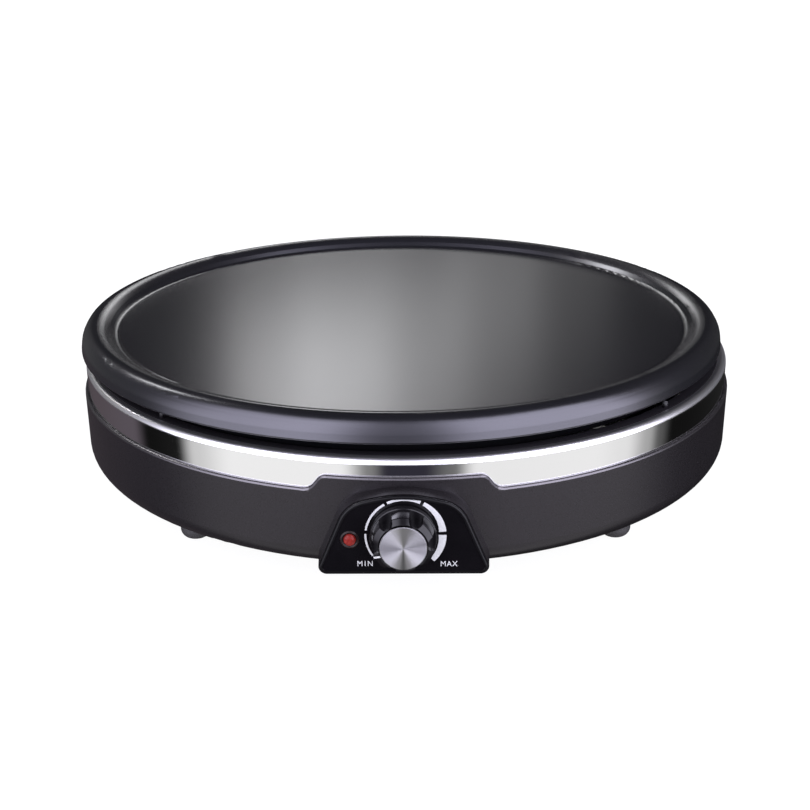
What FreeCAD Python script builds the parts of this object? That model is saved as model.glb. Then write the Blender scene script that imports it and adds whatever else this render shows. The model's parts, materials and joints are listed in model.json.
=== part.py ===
import FreeCAD, Part
import Sketcher
import math
import os
import sys
from FreeCAD import Placement, Rotation, Vector

# Electric crepe maker: a round cast plate over a low round body with one dial.
# Frame: origin on the table under the middle of the plate, +Z up, the dial at -Y.
# All sizes in millimetres.

doc = FreeCAD.newDocument("CrepeMaker")
sheet = doc.addObject("Spreadsheet::Sheet", "Dims")

DIMS = [
    # name, value, meaning
    ("body_rad", 165.0, "outer radius of the body shell"),
    ("wall", 2.5, "wall of the body shell"),
    ("floor_z", 8.0, "underside of the body above the table"),
    ("lip_z", 48.9, "top of the shell's lip"),
    ("raise_z", 55.5, "top of the raised lip over the dial"),
    ("raise_top", 33.6, "half width of the raised lip at its top"),
    ("raise_foot", 38.6, "half width of the raised lip at its foot"),
    ("lip_thick", 1.55, "thickness of the lip in front of the steel ring"),
    ("ledge_z", 40.0, "ledge that the steel ring stands on"),
    ("cone_rad", 143.2, "radius where the shell's bottom begins to rise"),
    ("cone_z", 16.1, "height where the rise meets the shell's wall"),
    ("corner_rad", 9.0, "bottom corner of the shell"),
    ("rebate_rad", 131.0, "rebate for the bottom cover"),
    ("flange_rad", 122.0, "inner edge of the shell's bottom flange"),
    ("cover_rad", 130.5, "bottom cover radius"),
    ("cover_thick", 2.2, "bottom cover thickness"),
    ("cover_screw_rad", 126.5, "pitch radius of the cover screws"),
    ("cover_screw_az", 45.0, "first cover screw, degrees"),
    ("foot_rad", 143.0, "pitch radius of the feet"),
    ("foot_az", 47.6, "feet from the X axis, degrees"),
    ("foot_body", 7.2, "foot radius"),
    ("foot_seat", 12.1, "top of the pads that the feet snap into"),
    ("pillar_rad", 138.0, "pitch radius of the pillars"),
    ("pillar_az", 20.0, "pillars from the X axis, degrees"),
    ("pillar_body", 6.5, "pillar radius"),
    ("pillar_top", 48.0, "top of the pillars"),
    ("seat_z", 36.0, "seat of the plate screws' heads"),
    ("boss_z", 58.0, "lower face of the plate's bosses"),
    ("ring_rad", 163.3, "outer radius of the steel ring"),
    ("ring_thick", 0.8, "sheet thickness of the steel ring"),
    ("ring_top", 63.25, "top of the steel ring's bead"),
    ("ring_bead", 2.7, "radius of the steel ring's bead"),
    ("ring_inner", 153.0, "inner edge of the steel ring's flange"),
    ("plate_top", 74.7, "cooking surface above the table"),
    ("plate_under", 69.0, "underside of the plate"),
    ("plate_crest", 79.75, "top of the plate's rim"),
    ("plate_flat", 143.4, "radius of the cooking surface"),
    ("plate_rad", 162.5, "outer radius of the plate's rim"),
    ("rim_low", 68.7, "lower edge of the plate's rim"),
    ("plate_shift", 2.4, "the plate's axis lies this far left of the body's"),
    ("skirt_rad", 149.5, "outer radius of the plate's skirt"),
    ("skirt_z", 60.0, "lower edge of the plate's skirt"),
    ("element_rad", 88.0, "radius of the heating element's loop"),
    ("element_tube", 4.0, "radius of the element's tube"),
    ("element_z", 64.6, "height of the element's loop"),
    ("shield_rad", 128.0, "heat shield radius"),
    ("shield_z", 53.2, "underside of the heat shield"),
    ("shield_thick", 0.8, "heat shield thickness"),
    ("post_rad", 112.0, "pitch radius of the shield posts"),
    ("panel_y", 173.3, "front of the control panel, ahead of the axis"),
    ("panel_thick", 3.3, "control panel thickness"),
    ("panel_low", 16.6, "bottom edge of the panel"),
    ("panel_half", 35.8, "half width of the panel's bottom edge"),
    ("panel_sh_x", 23.05, "panel shoulder, half width"),
    ("panel_sh_z", 47.5, "panel shoulder, height"),
    ("panel_apex", 52.7, "panel apex corner, height"),
    ("dial_z", 34.2, "height of the dial's axis"),
    ("lamp_x", 21.7, "indicator lamp, left of the dial's axis"),
    ("lamp_z", 32.0, "indicator lamp height"),
    ("skirt_knob", 13.5, "knob skirt radius"),
    ("grip_low", 13.0, "grip radius at the skirt"),
    ("grip_high", 12.3, "grip radius at the shoulder"),
    ("cap_rad", 9.5, "knob cap radius"),
    ("cap_front", 11.7, "front of the cap ahead of the panel"),
    ("shaft_rad", 3.0, "spindle radius"),
    ("bush_rad", 5.0, "thermostat bush radius"),
    ("bracket_y", 142.0, "back of the thermostat bracket, ahead of the axis"),
    ("bracket_thick", 1.2, "thermostat bracket sheet"),
    ("gland_z", 28.0, "height of the cord gland"),
    ("gland_bore", 3.6, "radius of the cord gland's bore"),
    ("rear_y", 173.0, "rear face of the gland boss"),
]


class Size:
    """A number together with the sheet expression that drives it."""

    def __init__(self, value, text=None):
        self.value = float(value)
        self.text = repr(round(float(value), 6)) if text is None else text

    def __add__(self, other):
        other = size(other)
        return Size(self.value + other.value, "(%s + %s)" % (self.text, other.text))

    def __radd__(self, other):
        return size(other) + self

    def __sub__(self, other):
        other = size(other)
        return Size(self.value - other.value, "(%s - %s)" % (self.text, other.text))

    def __rsub__(self, other):
        return size(other) - self

    def __mul__(self, other):
        other = size(other)
        return Size(self.value * other.value, "(%s * %s)" % (self.text, other.text))

    def __rmul__(self, other):
        return size(other) * self

    def __truediv__(self, other):
        other = size(other)
        return Size(self.value / other.value, "(%s / %s)" % (self.text, other.text))

    def __neg__(self):
        return Size(-self.value, "(0 - %s)" % self.text)


def size(x):
    return x if isinstance(x, Size) else Size(x)


def cosd(a):
    a = size(a)
    return Size(math.cos(math.radians(a.value)), "cos(%s)" % a.text)


def sind(a):
    a = size(a)
    return Size(math.sin(math.radians(a.value)), "sin(%s)" % a.text)


class Lookup:
    pass


d = Lookup()
for row, (name, value, meaning) in enumerate(DIMS, 1):
    sheet.set("A%d" % row, name)
    sheet.set("B%d" % row, str(value))
    sheet.set("C%d" % row, meaning)
    sheet.setAlias("B%d" % row, name)
    setattr(d, name, Size(value, "Dims." + name))
doc.recompute()

SUBPARTS = []  # the objects that are written out
FRONT = Rotation(Vector(1, 0, 0), 90)  # local +Z to the front, local +Y up
REAR = Rotation(Vector(1, 0, 0), -90)  # local +Z to the rear, local +Y down


def place(obj, at, turn=None):
    """Puts an object at sizes that stay bound to the sheet."""
    obj.Placement = Placement(Vector(*[size(v).value for v in at]), turn or Rotation())
    for axis, v in zip("xyz", at):
        if isinstance(v, Size):
            obj.setExpression("Placement.Base." + axis, v.text)


def new_body(label, at=(0, 0, 0), turn=None, keep=True):
    body = doc.addObject("PartDesign::Body", label)
    body.Label = label
    place(body, at, turn)
    if keep:
        SUBPARTS.append(body)
    return body


def plane_of(body, role):
    return [f for f in body.Origin.OriginFeatures if f.Role == role][0]


def new_sketch(body, plane="XY_Plane", level=0, name="Sketch"):
    sk = body.newObject("Sketcher::SketchObject", name)
    sk.AttachmentSupport = [(plane_of(body, plane), "")]
    sk.MapMode = "FlatFace"
    level = size(level)
    sk.AttachmentOffset = Placement(Vector(0, 0, level.value), Rotation())
    sk.setExpression("AttachmentOffset.Base.z", level.text)
    return sk


def pin_point(sk, geo, pos, x, y):
    """Fixes a sketch point by its two distances from the origin."""
    for kind, axis, v in (("DistanceX", -2, size(x)), ("DistanceY", -1, size(y))):
        if abs(v.value) < 1e-9:
            sk.addConstraint(Sketcher.Constraint("PointOnObject", geo, pos, axis))
            continue
        if v.value > 0:
            i = sk.addConstraint(Sketcher.Constraint(kind, -1, 1, geo, pos, v.value))
            text = v.text
        else:
            i = sk.addConstraint(Sketcher.Constraint(kind, geo, pos, -1, 1, -v.value))
            text = (-v).text
        sk.setExpression("Constraints[%d]" % i, text)


def outline(sk, corners):
    """A closed outline through corners (x, y) or (x, y, corner radius)."""
    n = len(corners)
    pts = [Vector(size(c[0]).value, size(c[1]).value, 0) for c in corners]
    rad = [size(c[2]) if len(c) > 2 else None for c in corners]
    leave, arrive = list(pts), list(pts)
    mids = [None] * n
    for i in range(n):
        if rad[i] is None:
            continue
        a = (pts[i - 1] - pts[i]).normalize()
        b = (pts[(i + 1) % n] - pts[i]).normalize()
        half = a.getAngle(b) / 2
        arrive[i] = pts[i] + a * (rad[i].value / math.tan(half))
        leave[i] = pts[i] + b * (rad[i].value / math.tan(half))
        bis = (a + b).normalize()
        mids[i] = pts[i] + bis * (rad[i].value / math.sin(half) - rad[i].value)
    lines = [
        sk.addGeometry(Part.LineSegment(leave[i], arrive[(i + 1) % n]), False)
        for i in range(n)
    ]
    for i in range(n):
        before, after = lines[i - 1], lines[i]
        if rad[i] is None:
            sk.addConstraint(Sketcher.Constraint("Coincident", before, 2, after, 1))
            pin_point(sk, after, 1, corners[i][0], corners[i][1])
            continue
        arc = sk.addGeometry(Part.Arc(arrive[i], mids[i], leave[i]), False)
        first = sk.getPoint(arc, 1).distanceToPoint(arrive[i]) < 1e-6
        one, two = (1, 2) if first else (2, 1)
        point = sk.addGeometry(Part.Point(pts[i]), True)
        sk.addConstraint(Sketcher.Constraint("PointOnObject", point, 1, before))
        sk.addConstraint(Sketcher.Constraint("PointOnObject", point, 1, after))
        sk.addConstraint(Sketcher.Constraint("Tangent", before, 2, arc, one))
        sk.addConstraint(Sketcher.Constraint("Tangent", arc, two, after, 1))
        k = sk.addConstraint(Sketcher.Constraint("Radius", arc, rad[i].value))
        sk.setExpression("Constraints[%d]" % k, rad[i].text)
        pin_point(sk, point, 1, corners[i][0], corners[i][1])
    return sk


def circle(sk, x, y, r):
    r = size(r)
    g = sk.addGeometry(
        Part.Circle(Vector(size(x).value, size(y).value, 0), Vector(0, 0, 1), r.value),
        False,
    )
    k = sk.addConstraint(Sketcher.Constraint("Radius", g, r.value))
    sk.setExpression("Constraints[%d]" % k, r.text)
    pin_point(sk, g, 3, x, y)
    return sk


def revolve(body, corners, cut=False, angle=360):
    """Turns a half section of (radius, height) about the body's Z axis."""
    sk = outline(new_sketch(body, "XZ_Plane", 0, "Section"), corners)
    kind = "PartDesign::Groove" if cut else "PartDesign::Revolution"
    f = body.newObject(kind, "Turned")
    f.Profile = sk
    f.ReferenceAxis = (sk, ["V_Axis"])
    f.Angle = angle
    sk.Visibility = False
    body.Tip = f
    return f


def extrude(body, draw, low, high, plane="XY_Plane", cut=False):
    """Pads or pockets a drawing between two levels along the plane's normal."""
    low, high = size(low), size(high)
    sk = new_sketch(body, plane, high if cut else low, "Outline")
    draw(sk)
    f = body.newObject("PartDesign::Pocket" if cut else "PartDesign::Pad", "Prism")
    f.Profile = sk
    f.Length = (high - low).value
    f.setExpression("Length", (high - low).text)
    sk.Visibility = False
    body.Tip = f
    return f


def drawn(*corners):
    return lambda sk: outline(sk, corners)


def round_at(x, y, r):
    return lambda sk: circle(sk, x, y, r)


def rounds(places, r):
    def draw(sk):
        for x, y in places:
            circle(sk, x, y, r)

    return draw


def oblong(x0, x1, y0, y1, r=None):
    pts = [(x0, y0), (x1, y0), (x1, y1), (x0, y1)]
    if r is not None:
        pts = [p + (r,) for p in pts]
    return drawn(*pts)


def both(*draws):
    def draw(sk):
        for one in draws:
            one(sk)

    return draw


def polar(body, feature, count, axis="Z_Axis"):
    pat = body.newObject("PartDesign::PolarPattern", "Around")
    pat.Originals = [feature]
    pat.Axis = ([f for f in body.Origin.OriginFeatures if f.Role == axis][0], [""])
    pat.Angle = 360
    pat.Occurrences = count
    body.Tip = pat
    return pat


def group(label, members):
    g = doc.addObject("Part::Compound", label)
    g.Label = label
    g.Links = members
    SUBPARTS.append(g)
    return g


def turned_group(label, corners, places, turn=None):
    """Identical turned pieces in one node."""
    members = []
    for i, at in enumerate(places):
        b = new_body("%s_no%d" % (label, i + 1), at, turn, keep=False)
        revolve(b, corners)
        members.append(b)
    return group(label, members)


def four(rad, az):
    """Four places mirrored about both upright planes."""
    x, y = rad * cosd(az), rad * sind(az)
    return [(x, y), (-x, y), (-x, -y), (x, -y)]


def around(rad, start, count):
    return [
        (rad * cosd(start + 360.0 / count * i), rad * sind(start + 360.0 / count * i))
        for i in range(count)
    ]


def shaped(label, shape, at=(0, 0, 0)):
    f = doc.addObject("Part::Feature", label)
    f.Label = label
    f.Shape = shape
    place(f, at)
    SUBPARTS.append(f)
    return f


FEET = four(d.foot_rad, d.foot_az)
PILLARS = four(d.pillar_rad, d.pillar_az)
COVER_SCREWS = around(d.cover_screw_rad, 45.0, 4)
POSTS = around(d.post_rad, 90.0, 3)
PANEL_SCREWS = [(-21.0, 22.6), (21.0, 22.6)]


# ---------------------------------------------------------------- body shell
def panel_corners(grow, top=None):
    """The panel's D outline, grown by a margin at the sides and another at the top."""
    top = grow if top is None else top
    return [
        (-(d.panel_half + 1.3 * grow), d.panel_low - grow, 3.0 + grow),
        (d.panel_half + 1.3 * grow, d.panel_low - grow, 3.0 + grow),
        (d.panel_sh_x + 0.85 * grow, d.panel_sh_z + 0.75 * top, 14.0 + grow),
        (0, d.panel_apex + top, 50.0 + grow),
        (-(d.panel_sh_x + 0.85 * grow), d.panel_sh_z + 0.75 * top, 14.0 + grow),
    ]


shell = new_body("body_shell")
inner = d.body_rad - d.wall
lip_in = d.body_rad - d.lip_thick
fl_top = d.floor_z + d.cover_thick + d.wall
revolve(
    shell,
    [
        (d.flange_rad, d.floor_z + d.cover_thick),
        (d.rebate_rad, d.floor_z + d.cover_thick),
        (d.rebate_rad, d.floor_z),
        (d.cone_rad, d.floor_z, 16.0),
        (d.body_rad, d.cone_z, d.corner_rad),
        (d.body_rad, d.raise_z + 1.5),
        (lip_in, d.raise_z + 1.5),
        (lip_in, d.ledge_z),
        (inner, d.ledge_z),
        (inner, d.cone_z + 1.72, d.corner_rad - d.wall),
        (d.cone_rad - 0.45, d.floor_z + d.wall, 13.5),
        (d.rebate_rad + d.wall, d.floor_z + d.wall),
        (d.rebate_rad + d.wall, fl_top),
        (d.flange_rad, fl_top),
    ],
)
# the lip's line: low all round, raised over the dial with soft S corners
extrude(
    shell,
    drawn(
        (-200, d.lip_z),
        (-d.raise_foot, d.lip_z, 6.0),
        (-d.raise_top, d.raise_z, 4.8),
        (d.raise_top, d.raise_z, 4.8),
        (d.raise_foot, d.lip_z, 6.0),
        (200, d.lip_z),
        (200, 70),
        (-200, 70),
    ),
    0,
    200,
    "XZ_Plane",
    cut=True,
)
extrude(shell, oblong(-200, 200, d.lip_z, 70), -200, 0, "XZ_Plane", cut=True)
doc.recompute()
edge_names = []
for i, e in enumerate(shell.Tip.Shape.Edges):
    mid = e.valueAt((e.FirstParameter + e.LastParameter) / 2)
    radial = math.hypot(mid.x, mid.y)
    if abs(radial - d.body_rad.value) < 0.02 and mid.z > d.lip_z.value - 0.05:
        if abs(mid.y) > 1e-3 or abs(mid.z - d.lip_z.value) < 0.01:
            edge_names.append("Edge%d" % (i + 1))
trimmed = shell.Tip
lip_round = shell.newObject("PartDesign::Fillet", "LipRound")
lip_round.Base = (trimmed, edge_names)
lip_round.Radius = 1.2
shell.Tip = lip_round

# the swelling that carries the control panel, hollow behind
front_face = d.panel_y - 1.3
for grow_front, grow_back, top_back, deep, near, cut in (
    (0.5, 1.5, 0.9, 158.0, front_face, False),
    (-1.6, -0.4, -1.6, 150.0, d.panel_y - d.panel_thick - d.wall, True),
):
    back = new_sketch(shell, "XZ_Plane", deep, "SwellBack")
    outline(back, panel_corners(grow_back, top_back))
    front = new_sketch(shell, "XZ_Plane", near, "SwellFront")
    outline(front, panel_corners(grow_front))
    loft = shell.newObject(
        "PartDesign::SubtractiveLoft" if cut else "PartDesign::AdditiveLoft", "Swell"
    )
    loft.Profile = front
    loft.Sections = [back]
    loft.Ruled = False
    loft.Closed = False
    shell.Tip = loft
    if not cut:
        # nothing of the swelling stands above the lip or inside the body
        doc.recompute()
# room for the steel ring and the inside of the wall behind the swelling
revolve(
    shell,
    [
        (150, 20),
        (inner, 20),
        (inner, d.ledge_z),
        (lip_in, d.ledge_z),
        (lip_in, 62),
        (150, 62),
    ],
    cut=True,
)
recess = extrude(
    shell,
    drawn(*panel_corners(0.15)),
    d.panel_y - d.panel_thick,
    d.panel_y + 5,
    "XZ_Plane",
    cut=True,
)
# rear boss for the cord gland
extrude(
    shell,
    oblong(-15, 15, d.gland_z - 12, d.gland_z + 12, 5),
    -d.rear_y,
    -158,
    "XZ_Plane",
)
extrude(
    shell,
    oblong(-12.5, 12.5, d.gland_z - 9.5, d.gland_z + 9.5, 3),
    -(d.rear_y - d.wall),
    -150,
    "XZ_Plane",
    cut=True,
)
# pads over the feet, pillars for the plate, cover bosses
extrude(shell, rounds(FEET, 8.0), d.floor_z, d.foot_seat)
extrude(shell, rounds(PILLARS, d.pillar_body), d.floor_z + 0.5, d.pillar_top)
extrude(shell, rounds(COVER_SCREWS, 4.2), fl_top - 0.5, fl_top + 7.3)
# bores
extrude(shell, rounds(PILLARS, 4.5), d.floor_z - 1, d.seat_z, cut=True)
extrude(shell, rounds(PILLARS, 2.2), d.seat_z - 1, d.pillar_top + 1, cut=True)
extrude(shell, rounds(COVER_SCREWS, 1.5), d.floor_z, fl_top + 6.3, cut=True)
extrude(shell, rounds(FEET, 2.45), d.floor_z - 1, d.foot_seat + 1, cut=True)
extrude(
    shell,
    both(
        round_at(0, d.dial_z, 4.2),
        round_at(-d.lamp_x, d.lamp_z, 4.3),
        rounds(PANEL_SCREWS, 1.6),
    ),
    150,
    d.panel_y + 5,
    "XZ_Plane",
    cut=True,
)
extrude(
    shell,
    round_at(0, d.gland_z, 7.0),
    -(d.rear_y + 5),
    -(d.rear_y - 8),
    "XZ_Plane",
    cut=True,
)

# ---------------------------------------------------------------- steel ring
ring = new_body("steel_ring")
revolve(
    ring,
    [
        (d.ring_rad, d.ledge_z),
        (d.ring_rad, d.ring_top, d.ring_bead),
        (d.ring_inner, d.ring_top - 1.2),
        (d.ring_inner, d.ring_top - 2.0),
        (d.ring_rad - d.ring_thick, d.ring_top - 0.85, d.ring_bead - d.ring_thick),
        (d.ring_rad - d.ring_thick, d.ledge_z),
    ],
)
# four locating tabs bent up from the flange
tab = extrude(ring, oblong(155.3, 157.9, -0.4, 0.4), 61.6, 65.6)
tab.Profile[0].AttachmentOffset = Placement(
    Vector(0, 0, 61.6), Rotation(Vector(0, 0, 1), -42.5)
)
polar(ring, tab, 4)

# ---------------------------------------------------------------- cooking plate
plate = new_body("cooking_plate", (-d.plate_shift, 0, 0))


def on_plate(places):
    """Places given from the body's axis, seen from the plate's own axis."""
    return [(x + d.plate_shift, y) for x, y in places]


revolve(
    plate,
    [
        (0, d.plate_under),
        (d.skirt_rad - 3.5, d.plate_under),
        (d.skirt_rad - 3.5, d.skirt_z),
        (d.skirt_rad, d.skirt_z),
        (d.skirt_rad, d.plate_under, 1.5),
        (d.plate_rad - 5.0, d.plate_under),
        (d.plate_rad - 4.2, d.rim_low),
        (d.plate_rad, d.rim_low, 0.8),
        (d.plate_rad - 0.8, d.rim_low + 5.6, 7.5),
        (d.plate_rad - 4.2, d.plate_crest, 6.0),
        (d.plate_flat + 7.2, d.plate_crest, 8.0),
        (d.plate_flat + 2.3, d.plate_top - 0.4, 3.0),
        (d.plate_flat + 0.6, d.plate_top - 0.4),
        (d.plate_flat, d.plate_top),
        (0, d.plate_top),
    ],
)
# under the plate: element ribs, bosses and posts
extrude(
    plate,
    lambda sk: (
        circle(sk, d.plate_shift, 0, d.element_rad + 7.2),
        circle(sk, d.plate_shift, 0, d.element_rad + 4.6),
    ),
    d.plate_under - 4.5,
    d.plate_under + 0.5,
)
extrude(
    plate,
    lambda sk: (
        circle(sk, d.plate_shift, 0, d.element_rad - 4.6),
        circle(sk, d.plate_shift, 0, d.element_rad - 7.2),
    ),
    d.plate_under - 4.5,
    d.plate_under + 0.5,
)
extrude(plate, rounds(on_plate(PILLARS), 6.0), d.boss_z, d.plate_under + 0.5)
extrude(plate, rounds(on_plate(POSTS), 4.0), d.shield_z + d.shield_thick, d.plate_under + 0.5)
extrude(plate, round_at(d.plate_shift, -128, 5.0), d.boss_z, d.plate_under + 0.5)
CLAMP_AZ = (0.0, 180.0, 270.0)
CLAMPS = [(103.0 * cosd(a), 103.0 * sind(a)) for a in CLAMP_AZ]
extrude(plate, rounds(on_plate(CLAMPS), 3.6), d.plate_under - 7.0, d.plate_under + 0.5)
extrude(plate, rounds(on_plate(PILLARS), 2.05), d.boss_z - 1, d.plate_under - 1.5, cut=True)
extrude(plate, rounds(on_plate(POSTS), 1.52), d.shield_z, d.plate_under - 4, cut=True)
extrude(plate, round_at(d.plate_shift, -128, 2.02), d.boss_z - 1, d.plate_under - 2, cut=True)
extrude(plate, rounds(on_plate(CLAMPS), 1.52), d.plate_under - 8, d.plate_under + 1.5, cut=True)

# ---------------------------------------------------------------- heating element
er, ez, et = d.element_rad.value, d.element_z.value, d.element_tube.value
BEND = 12.0
END_LOW = 44.0


def ring_point(deg, z=ez, r=er):
    return Vector(r * math.cos(math.radians(deg)), r * math.sin(math.radians(deg)), z)


def element_end(deg, side):
    """The loop's end turns straight down: horizontal tangent, bend, short leg."""
    p = ring_point(deg)
    t = Vector(-math.sin(math.radians(deg)), math.cos(math.radians(deg)), 0) * side
    q = p + t * BEND - Vector(0, 0, BEND)
    m = p + t * (BEND * math.sin(math.pi / 4)) - Vector(0, 0, BEND * (1 - math.cos(math.pi / 4)))
    foot = Vector(q.x, q.y, END_LOW)
    return p, m, q, foot


pa, ma, qa, fa = element_end(68.0, 1)
pb, mb, qb, fb = element_end(112.0, -1)
element_path = Part.Wire(
    [
        Part.LineSegment(fa, qa).toShape(),
        Part.Arc(qa, ma, pa).toShape(),
        Part.Arc(pa, ring_point(-90.0), pb).toShape(),
        Part.Arc(pb, mb, qb).toShape(),
        Part.LineSegment(qb, fb).toShape(),
    ]
)


def tube_along(path, start, direction, radius):
    section = Part.Wire([Part.Circle(start, direction, radius).toShape()])
    return path.makePipeShell([section], True, False)


shaped("heating_element", tube_along(element_path, fa, Vector(0, 0, 1), et))
ENDS = [(fa.x, fa.y), (fb.x, fb.y)]
turned_group(
    "element_seals",
    [(0, 40.0), (4.6, 40.0), (4.6, END_LOW), (0, END_LOW)],
    [(x, y, 0) for x, y in ENDS],
)
turned_group(
    "element_terminals",
    [(0, 30.5), (1.2, 30.5), (1.2, 40.0), (0, 40.0)],
    [(x, y, 0) for x, y in ENDS],
)
# straps that hold the loop against the plate
straps = []
for i, a in enumerate(CLAMP_AZ):
    b = new_body("element_strap_no%d" % (i + 1), (0, 0, 0), Rotation(Vector(0, 0, 1), a), keep=False)
    extrude(b, oblong(80.2, 107.0, -4, 4, 1.5), 59.4, 60.4)
    extrude(b, round_at(103.0, 0, 1.8), 59, 61, cut=True)
    extrude(b, oblong(98.0, 99.2, -4, 4), 60.4, 62.0)
    straps.append(b)
group("element_straps", straps)
turned_group(
    "strap_screws",
    [(0, 57.2), (2.9, 57.2, 0.8), (2.9, 59.4), (1.5, 59.4), (1.5, 69.6), (0, 69.6)],
    [(x, y, 0) for x, y in CLAMPS],
)

# ---------------------------------------------------------------- heat shield
shield = new_body("heat_shield")
s0, s1 = d.shield_z, d.shield_z + d.shield_thick
extrude(shield, round_at(0, 0, d.shield_rad), s0, s1)
extrude(shield, oblong(-17, 17, -140, -109), s0 - 1, s1 + 1, cut=True)
extrude(shield, rounds(ENDS, 6.5), s0 - 1, s1 + 1, cut=True)
extrude(shield, rounds(POSTS, 1.7), s0 - 1, s1 + 1, cut=True)
extrude(
    shield,
    lambda sk: (circle(sk, 0, 0, 60), circle(sk, 0, 0, 56)),
    s0 - 1.2,
    s0 + 0.2,
)
turned_group(
    "shield_screws",
    [(0, 50.9), (2.9, 50.9, 0.8), (2.9, s0), (1.5, s0), (1.5, 64.5), (0, 64.5)],
    [(x, y, 0) for x, y in POSTS[1:]],
)
# the earth point: longer screw with a ring lug under it
ex, ey = POSTS[0]
turned_group(
    "earth_screw",
    [(0, 49.9), (3.2, 49.9, 0.8), (3.2, s0 - 1.0), (1.5, s0 - 1.0), (1.5, 64.5), (0, 64.5)],
    [(ex, ey, 0)],
)
lug = new_body("earth_lug", (ex, ey, 0))
extrude(lug, round_at(0, 0, 4.0), s0 - 1.0, s0)
extrude(lug, oblong(3.0, 12.0, -1.6, 1.6), s0 - 1.0, s0)
extrude(lug, round_at(0, 0, 1.7), s0 - 2, s0 + 1, cut=True)

# ---------------------------------------------------------------- plate mounting
turned_group(
    "plate_spacers",
    [
        (2.3, d.pillar_top),
        (6.0, d.pillar_top),
        (6.0, d.boss_z),
        (2.3, d.boss_z),
    ],
    [(x, y, 0) for x, y in PILLARS],
)
turned_group(
    "plate_screws",
    [
        (0, d.seat_z - 3.2),
        (3.8, d.seat_z - 3.2, 1.2),
        (3.8, d.seat_z),
        (2.0, d.seat_z),
        (2.0, d.plate_under - 3),
        (0, d.plate_under - 3),
    ],
    [(x, y, 0) for x, y in PILLARS],
)

# ---------------------------------------------------------------- bottom cover and feet
cover = new_body("bottom_cover")
c0, c1 = d.floor_z, d.floor_z + d.cover_thick
extrude(cover, round_at(0, 0, d.cover_rad), c0, c1)
slot = extrude(cover, oblong(78, 108, -1.8, 1.8, 1.7), c0 - 1, c1 + 1, cut=True)
polar(cover, slot, 16)
slot2 = extrude(cover, oblong(44, 64, -1.8, 1.8, 1.7), c0 - 1, c1 + 1, cut=True)
polar(cover, slot2, 8)
extrude(cover, rounds(COVER_SCREWS, 1.8), c0 - 1, c1 + 1, cut=True)
extrude(cover, rounds(COVER_SCREWS, 3.3), c0 - 1, c0 + 1.1, cut=True)
# a low stiffening ring
extrude(
    cover,
    lambda sk: (circle(sk, 0, 0, 119.5), circle(sk, 0, 0, 117.5)),
    c1 - 0.2,
    c1 + 3,
)
turned_group(
    "cover_screws",
    [
        (0, c0 + 0.1),
        (3.1, c0 + 0.1),
        (3.1, c0 + 1.1),
        (1.5, c0 + 1.1),
        (1.5, fl_top + 5.8),
        (0, fl_top + 5.8),
    ],
    [(x, y, 0) for x, y in COVER_SCREWS],
)
turned_group(
    "feet",
    [
        (0, 0),
        (d.foot_body, 0, 4.4),
        (d.foot_body, d.floor_z),
        (2.4, d.floor_z),
        (2.4, d.foot_seat + 0.1),
        (3.4, d.foot_seat + 0.4),
        (1.8, d.foot_seat + 3.5),
        (0, d.foot_seat + 3.5),
    ],
    [(x, y, 0) for x, y in FEET],
)

# ---------------------------------------------------------------- control panel
panel = new_body("control_panel")
extrude(
    panel,
    drawn(*panel_corners(0)),
    d.panel_y - d.panel_thick,
    d.panel_y,
    "XZ_Plane",
)
doc.recompute()
edges = []
for i, e in enumerate(panel.Tip.Shape.Edges):
    if all(abs(v.Point.y + d.panel_y.value) < 1e-4 for v in e.Vertexes):
        edges.append("Edge%d" % (i + 1))
slab = panel.Tip
rim = panel.newObject("PartDesign::Fillet", "FrontRound")
rim.Base = (slab, edges)
rim.Radius = 0.9
panel.Tip = rim
# the face lies a little behind its border
extrude(
    panel,
    drawn(*panel_corners(-1.5)),
    d.panel_y - 0.5,
    d.panel_y + 1,
    "XZ_Plane",
    cut=True,
)
extrude(
    panel,
    both(round_at(0, d.dial_z, 4.0), round_at(-d.lamp_x, d.lamp_z, 2.6)),
    150,
    d.panel_y + 1,
    "XZ_Plane",
    cut=True,
)
extrude(
    panel,
    round_at(-d.lamp_x, d.lamp_z, 4.0),
    d.panel_y - 1.7,
    d.panel_y + 1,
    "XZ_Plane",
    cut=True,
)
extrude(
    panel,
    rounds(PANEL_SCREWS, 1.4),
    150,
    d.panel_y - 1.2,
    "XZ_Plane",
    cut=True,
)
turned_group(
    "panel_screws",
    [(0, -2.0), (3.0, -2.0, 0.7), (3.0, 0), (1.38, 0), (1.38, 4.4), (0, 4.4)],
    [(x, -(d.panel_y - d.panel_thick - d.wall), z) for x, z in PANEL_SCREWS],
    FRONT,
)

# ---------------------------------------------------------------- indicator lamp
lamp_at = (-d.lamp_x, -d.panel_y, d.lamp_z)
bezel = new_body("lamp_bezel", lamp_at, FRONT)
revolve(bezel, [(2.65, -1.7), (3.9, -1.7), (3.9, -0.6), (3.3, -0.2), (2.65, -0.6)])
lens = new_body("lamp_lens", lamp_at, FRONT)
revolve(
    lens,
    [
        (0, -4.9),
        (3.6, -4.9),
        (3.6, -3.4),
        (2.5, -3.4),
        (2.5, 0.1, 0.9),
        (1.2, 0.6, 1.5),
        (0, 0.6),
    ],
)
holder = new_body("lamp_holder", lamp_at, FRONT)
revolve(holder, [(2.3, -14), (3.5, -14), (3.5, -7), (4.9, -7), (4.9, -5.9), (3.7, -5.9), (3.7, -4.9), (2.3, -4.9)])
neon = new_body("neon_lamp", lamp_at, FRONT)
revolve(neon, [(0, -16), (1.6, -16), (2.2, -13, 0.8), (2.2, -6.0, 0.9), (0, -5.2)])

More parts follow.
